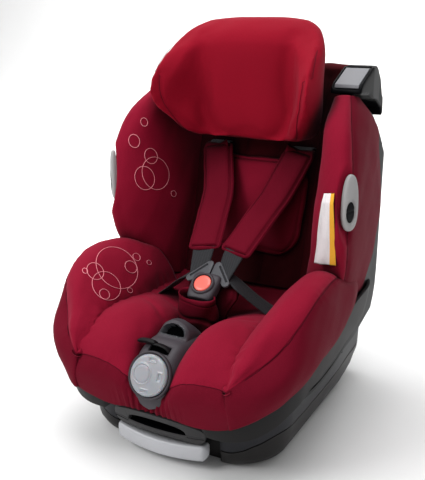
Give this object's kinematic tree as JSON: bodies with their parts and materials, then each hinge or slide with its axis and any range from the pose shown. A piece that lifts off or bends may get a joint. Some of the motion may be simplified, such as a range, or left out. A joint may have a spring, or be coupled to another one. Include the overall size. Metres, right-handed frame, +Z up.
{
  "type": "convertible car seat",
  "caption": "Child's convertible car seat: padded bucket shell with raised headrest, harness and belt clamps, reclining on a hollow curved-rail base.",
  "frame": {"origin": "middle of the overall footprint, on the floor the base stands on", "axes": "+X to the right as seen from the front, the seat faces -Y, +Z up"},
  "size_m": [0.445, 0.54, 0.638],
  "materials": {
    "fabric_bright": "matte",
    "fabric_red": "matte",
    "fabric_wine": "matte",
    "tag_white": "matte",
    "webbing": "matte",
    "foam": "matte",
    "plastic_dark": "satin",
    "plastic_black": "matte",
    "plastic_rim": "satin",
    "plastic_base": "satin",
    "plastic_band": "satin",
    "plastic_silver": "satin",
    "plastic_frosted": "satin",
    "plastic_gloss": "gloss",
    "plastic_mid": "satin",
    "plastic_pale": "satin",
    "button_salmon": "satin",
    "rubber_black": "matte",
    "steel": "satin"
  },
  "bodies": {
    "base": {"base_tray": "plastic_base", "base_upper_cover": "plastic_band", "base_pads": "rubber_black", "base_screws": "steel", "notch_plate": "steel", "cross_tubes": "steel", "tube_saddles": "plastic_black", "rail_left": "steel", "rail_right": "steel"},
    "shell": {"back_bolster_left": "fabric_red", "back_bolster_right": "fabric_red", "back_cover": "plastic_rim", "back_cushion": "fabric_wine", "back_pad": "fabric_red", "buckle_body": "plastic_dark", "buckle_spring": "steel", "clamp_housing_left": "plastic_gloss", "clamp_housing_right": "plastic_gloss", "clip_inserts": "plastic_dark", "console": "plastic_dark", "crotch_anchor": "steel", "crotch_pad": "fabric_wine", "crotch_strap": "webbing", "front_lip": "plastic_rim", "front_skirt": "fabric_red", "handle_springs": "steel", "lap_strap_left": "webbing", "lap_strap_right": "webbing", "pivot_pins": "steel", "seat_bolster_left": "fabric_red", "seat_bolster_right": "fabric_red", "seat_cushion": "fabric_red", "seat_foam": "foam", "seat_shell": "plastic_black", "shell_rim": "plastic_rim", "shoulder_pad_left": "fabric_wine", "shoulder_pad_right": "fabric_wine", "shoulder_strap_left": "webbing", "shoulder_strap_right": "webbing", "side_clip_left": "plastic_silver", "side_clip_right": "plastic_silver", "side_cover_left": "fabric_wine", "side_cover_right": "fabric_wine", "side_tag": "tag_white", "slider_shoes": "plastic_pale", "strap_yoke": "steel", "tongue_left": "plastic_mid", "tongue_right": "plastic_mid"},
    "headrest": {"headrest_cushion": "fabric_bright", "headrest_shell": "plastic_black", "headrest_frame": "steel"},
    "height_knob_body": {"height_knob": "plastic_silver", "knob_shaft": "steel"},
    "recline_grip": {"recline_handle": "plastic_silver", "handle_arms": "steel"},
    "buckle_press": {"buckle_button": "button_salmon"},
    "adjuster": {"adjuster_lever": "plastic_black"},
    "disc": {"front_disc": "plastic_frosted"},
    "belt_lever_left": {"clamp_lever_left": "plastic_silver"},
    "belt_lever_right": {"clamp_lever_right": "plastic_silver"}
  },
  "joints": [
    {"name": "recline", "type": "hinge", "parent": "base", "child": "shell", "pos_m": [0, -0.06, 0.52], "axis": [-1, 0, 0], "range_deg": [0, 16]},
    {"name": "headrest_height", "type": "slide", "parent": "shell", "child": "headrest", "axis": [0, 0.3134, 0.9496], "range_m": [0, 0.08]},
    {"name": "height_knob_turn", "type": "hinge", "parent": "shell", "child": "height_knob_body", "pos_m": [0, 0.266, 0.33], "axis": [0, 1, 0], "range_deg": [0, 360]},
    {"name": "recline_pull", "type": "slide", "parent": "shell", "child": "recline_grip", "axis": [0, -1, 0], "range_m": [0, 0.012], "stiffness_N_per_m": 900, "springref_m": -0.004},
    {"name": "buckle_push", "type": "slide", "parent": "shell", "child": "buckle_press", "axis": [0, 0.8192, -0.5736], "range_m": [0, 0.004], "stiffness_N_per_m": 1500, "springref_m": -0.002, "deforming": ["buckle_spring"]},
    {"name": "adjuster_tip", "type": "hinge", "parent": "shell", "child": "adjuster", "pos_m": [0, -0.209, 0.18], "axis": [-1, 0, 0], "range_deg": [0, 22], "stiffness_Nm_per_rad": 0.4, "springref_deg": -5.73},
    {"name": "disc_turn", "type": "hinge", "parent": "shell", "child": "disc", "pos_m": [0, -0.25279, 0.15], "axis": [0, 0.9063, -0.4226], "range_deg": [-60, 60]},
    {"name": "belt_lever_left_lift", "type": "hinge", "parent": "shell", "child": "belt_lever_left", "pos_m": [0.163, 0.113, 0.551], "axis": [-1, 0, 0], "range_deg": [0, 70]},
    {"name": "belt_lever_right_lift", "type": "hinge", "parent": "shell", "child": "belt_lever_right", "pos_m": [-0.163, 0.113, 0.551], "axis": [-1, 0, 0], "range_deg": [0, 70]}
  ],
  "couplings": [
    {"joint": "height_knob_turn", "follows": "headrest_height", "rad_per_m": 75}
  ]
}
